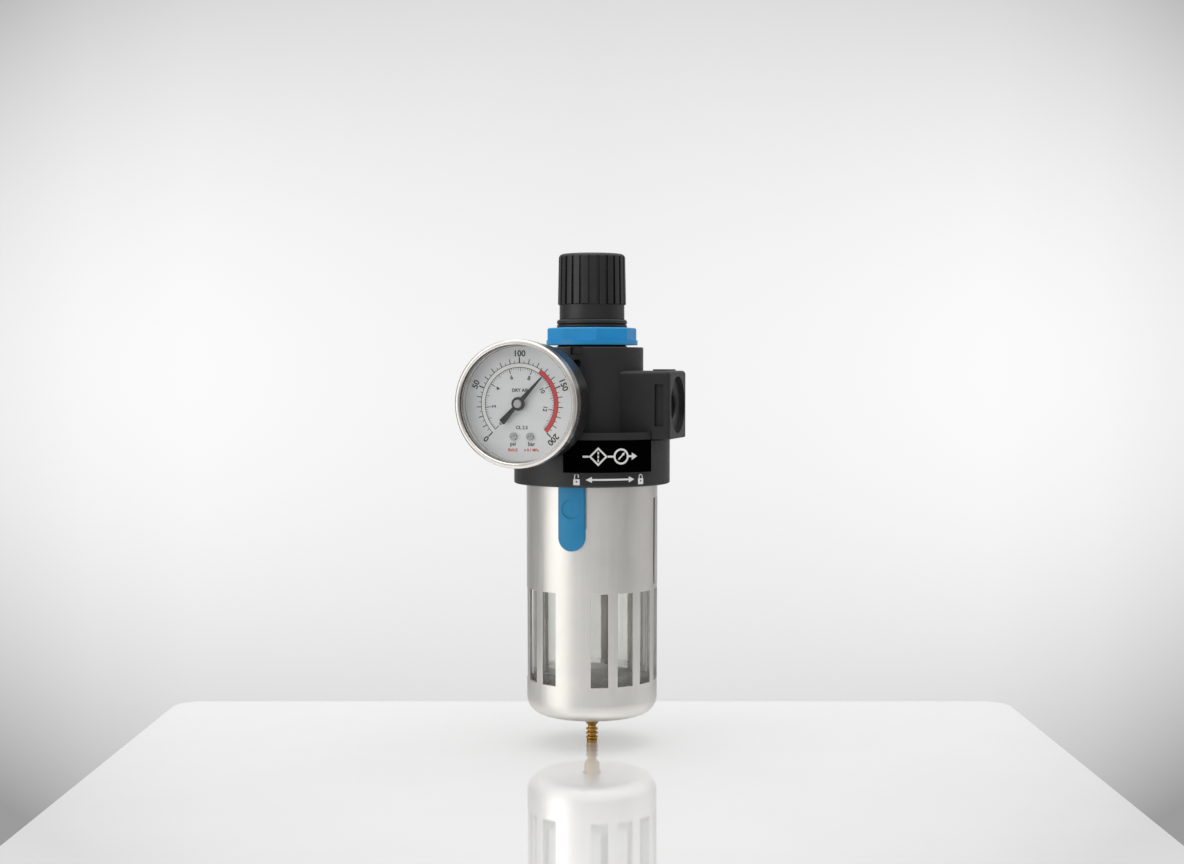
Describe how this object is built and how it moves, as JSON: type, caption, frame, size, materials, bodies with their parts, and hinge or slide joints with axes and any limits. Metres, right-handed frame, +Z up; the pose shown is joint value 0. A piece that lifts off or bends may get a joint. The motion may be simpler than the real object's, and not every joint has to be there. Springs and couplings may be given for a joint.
{
  "type": "air pressure regulator",
  "caption": "Compressed-air filter-regulator: black body with two threaded side ports, grip knob with lock, panel nut, dial gauge, metal bowl guard over a clear bowl, latch and push drain.",
  "frame": {"origin": "on the main axis, at the body's top face where a panel would lie against it", "axes": "+Z up along the main axis towards the knob, -Y to the front where the gauge faces, +X out of the outlet port"},
  "size_m": [0.076, 0.0974, 0.2102],
  "materials": {
    "body_black": "fine satin moulding",
    "knob_black": "satin",
    "blue": "satin blue",
    "guard_metal": "satin anodised",
    "clear_bowl": "clear polycarbonate",
    "lens_glass": "clear",
    "brass": "turned",
    "bezel_steel": "polished",
    "case_black": "satin black",
    "spring_steel": "bright wire",
    "zinc_steel": "zinc plated",
    "rubber_black": "nitrile",
    "white_plastic": "moulded",
    "filter_media": "sintered",
    "dial_white": "printed",
    "pointer_black": "matt",
    "label_black": "glossy"
  },
  "bodies": {
    "housing": {"body": "body_black", "bonnet": "body_black", "bonnet_screws": "zinc_steel", "regulating_spring": "spring_steel", "diaphragm": "rubber_black", "poppet_spring": "spring_steel", "valve_guide": "white_plastic", "deflector": "white_plastic", "filter_element": "filter_media", "baffle": "white_plastic", "gauge_socket": "brass", "gauge_case": "case_black", "gauge_bezel": "bezel_steel", "gauge_gasket": "white_plastic", "gauge_lens": "lens_glass", "gauge_dial": "dial_white", "dial_screws": "zinc_steel", "movement_back_plate": "brass", "movement_front_plate": "brass", "bourdon_tube": "brass", "hairspring": "spring_steel", "gauge_port_plug": "brass", "label_plate": "label_black"},
    "nut": {"panel_nut": "blue"},
    "spindle": {"adjusting_screw": "brass"},
    "knob": {"knob": "knob_black"},
    "seat": {"spring_seat": "brass"},
    "valve": {"diaphragm_upper_plate": "zinc_steel", "diaphragm_lower_plate": "brass", "diaphragm_nut": "brass", "valve_poppet": "brass", "poppet_seal": "rubber_black"},
    "pointer": {"pinion_shaft": "zinc_steel", "gauge_pointer": "pointer_black", "pointer_bush": "zinc_steel"},
    "sector": {"sector_gear": "brass"},
    "link": {"gauge_link": "zinc_steel"},
    "bowl_unit": {"bowl_guard": "guard_metal", "bowl": "clear_bowl", "bowl_o_ring": "rubber_black", "drain_bush": "brass", "drain_cage": "white_plastic", "drain_spring": "spring_steel", "latch_spring": "spring_steel"},
    "latch": {"latch": "blue"},
    "drain": {"drain_stem": "brass", "drain_seal": "rubber_black"}
  },
  "joints": [
    {"name": "spindle_turn", "type": "hinge", "parent": "housing", "child": "spindle", "pos_m": [0, 0, 0], "axis": [0, 0, 1], "range_deg": [-901, 1441]},
    {"name": "knob_lift", "type": "slide", "parent": "spindle", "child": "knob", "axis": [0, 0, 1], "range_m": [0, 0.003]},
    {"name": "seat_travel", "type": "slide", "parent": "housing", "child": "seat", "axis": [0, 0, 1], "range_m": [-0.00375, 0.006], "deforming": ["regulating_spring"]},
    {"name": "valve_travel", "type": "slide", "parent": "housing", "child": "valve", "axis": [0, 0, 1], "range_m": [-0.0012, 0], "stiffness_N_per_m": 1500, "springref_m": 0.002, "deforming": ["poppet_spring", "diaphragm"]},
    {"name": "nut_turn", "type": "hinge", "parent": "housing", "child": "nut", "pos_m": [0, 0, 0], "axis": [0, 0, 1], "range_deg": [-360, 360]},
    {"name": "pointer_turn", "type": "hinge", "parent": "housing", "child": "pointer", "pos_m": [-0.0124, -0.059, -0.023], "axis": [0, 1, 0], "range_deg": [-178, 92], "stiffness_Nm_per_rad": 0.0006},
    {"name": "sector_turn", "type": "hinge", "parent": "housing", "child": "sector", "pos_m": [-0.0042, -0.048, -0.0372], "axis": [0, 1, 0], "range_deg": [-13, 25]},
    {"name": "link_swing", "type": "hinge", "parent": "sector", "child": "link", "pos_m": [0.00256, -0.053, -0.03539], "axis": [0, 1, 0], "range_deg": [-25, 13]},
    {"name": "bowl_turn", "type": "hinge", "parent": "housing", "child": "bowl_unit", "pos_m": [0, 0, -0.05], "axis": [0, 0, 1], "range_deg": [0, 48]},
    {"name": "latch_slide", "type": "slide", "parent": "bowl_unit", "child": "latch", "axis": [0, 0, -1], "range_m": [0, 0.004], "stiffness_N_per_m": 300, "springref_m": -0.002, "deforming": ["latch_spring"]},
    {"name": "drain_push", "type": "slide", "parent": "bowl_unit", "child": "drain", "axis": [0, 0, 1], "range_m": [0, 0.0025], "stiffness_N_per_m": 300, "springref_m": -0.003, "deforming": ["drain_spring"]}
  ],
  "couplings": [
    {"joint": "spindle_turn", "follows": "seat_travel", "rad_per_m": 4188.8},
    {"joint": "sector_turn", "follows": "pointer_turn", "ratio": -0.13889},
    {"joint": "link_swing", "follows": "pointer_turn", "ratio": 0.13889}
  ]
}
